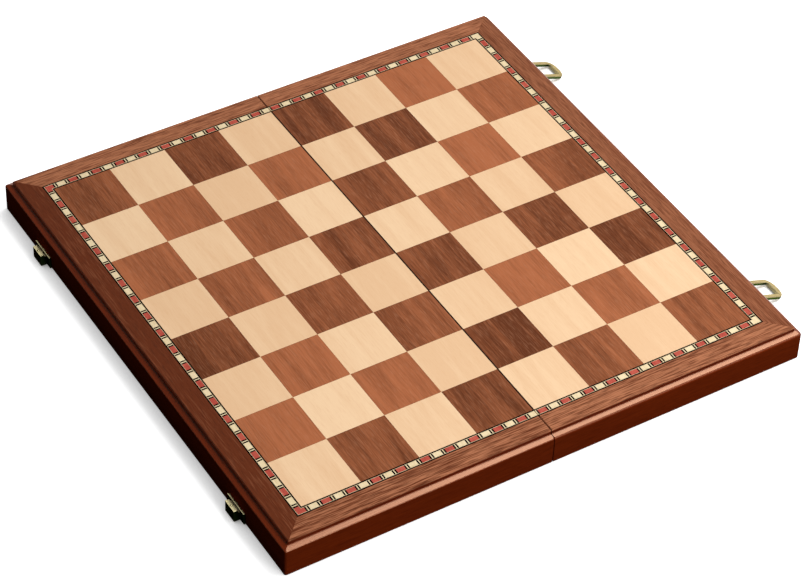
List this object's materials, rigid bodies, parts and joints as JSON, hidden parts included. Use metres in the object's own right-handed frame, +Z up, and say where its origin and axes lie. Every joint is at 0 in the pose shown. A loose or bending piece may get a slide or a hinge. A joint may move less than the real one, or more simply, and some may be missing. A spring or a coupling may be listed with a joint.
{
  "type": "folding chess box",
  "caption": "Folding wooden chess box: two hinged lined trays that open flat into an inlaid chessboard and close with brass hasps.",
  "frame": {"origin": "middle of the seam between the two halves, in the plane of the rims on which the open box rests", "axes": "+X across the seam from the half with the catches to the half with the loops, +Y along the seam away from the front edge, +Z up out of the playing surface"},
  "size_m": [0.4383, 0.4052, 0.028],
  "materials": {
    "carcass": "gloss lacquer over dark stain",
    "core_board": "plain, edge stained dark",
    "frame_veneer": "satin lacquer",
    "light_squares": "satin lacquer",
    "dark_squares": "satin lacquer",
    "band_black": "dyed black, satin lacquer",
    "band_cream": "satin lacquer",
    "band_red": "dyed red, satin lacquer",
    "lining": "felt",
    "brass": "plated, satin",
    "pins": "drawn wire",
    "screws": "turned, bright"
  },
  "bodies": {
    "left_half": {"left_outer_rail": "carcass", "left_front_rail": "carcass", "left_rear_rail": "carcass", "left_seam_rail": "carcass", "left_panel": "core_board", "left_outer_frame": "frame_veneer", "left_front_frame": "frame_veneer", "left_rear_frame": "frame_veneer", "left_light_squares": "light_squares", "left_dark_squares": "dark_squares", "left_band_black": "band_black", "left_band_cream": "band_cream", "left_band_red": "band_red", "left_lining": "lining", "left_hinge_leaves": "brass", "left_hinge_screws": "screws", "hinge_pins": "pins", "catches": "brass", "catch_screws": "screws"},
    "right_half": {"right_outer_rail": "carcass", "right_front_rail": "carcass", "right_rear_rail": "carcass", "right_seam_rail": "carcass", "right_panel": "core_board", "right_outer_frame": "frame_veneer", "right_front_frame": "frame_veneer", "right_rear_frame": "frame_veneer", "right_light_squares": "light_squares", "right_dark_squares": "dark_squares", "right_band_black": "band_black", "right_band_cream": "band_cream", "right_band_red": "band_red", "right_lining": "lining", "right_hinge_leaves": "brass", "right_hinge_screws": "screws", "hasp_plates": "brass", "hasp_pins": "pins", "hasp_screws": "screws"},
    "front_loop": {"loop_front": "brass"},
    "rear_loop": {"loop_rear": "brass"}
  },
  "joints": [
    {"name": "fold", "type": "hinge", "parent": "left_half", "child": "right_half", "pos_m": [0, 0, -0.0001], "axis": [0, 1, 0], "range_deg": [0, 180]},
    {"name": "front_loop_hinge", "type": "hinge", "parent": "right_half", "child": "front_loop", "pos_m": [0.2055, -0.13979, 0.0098], "axis": [0, 1, 0], "range_deg": [-100, 70.11]},
    {"name": "rear_loop_hinge", "type": "hinge", "parent": "right_half", "child": "rear_loop", "pos_m": [0.2055, 0.13979, 0.0098], "axis": [0, 1, 0], "range_deg": [-100, 70.11]}
  ]
}
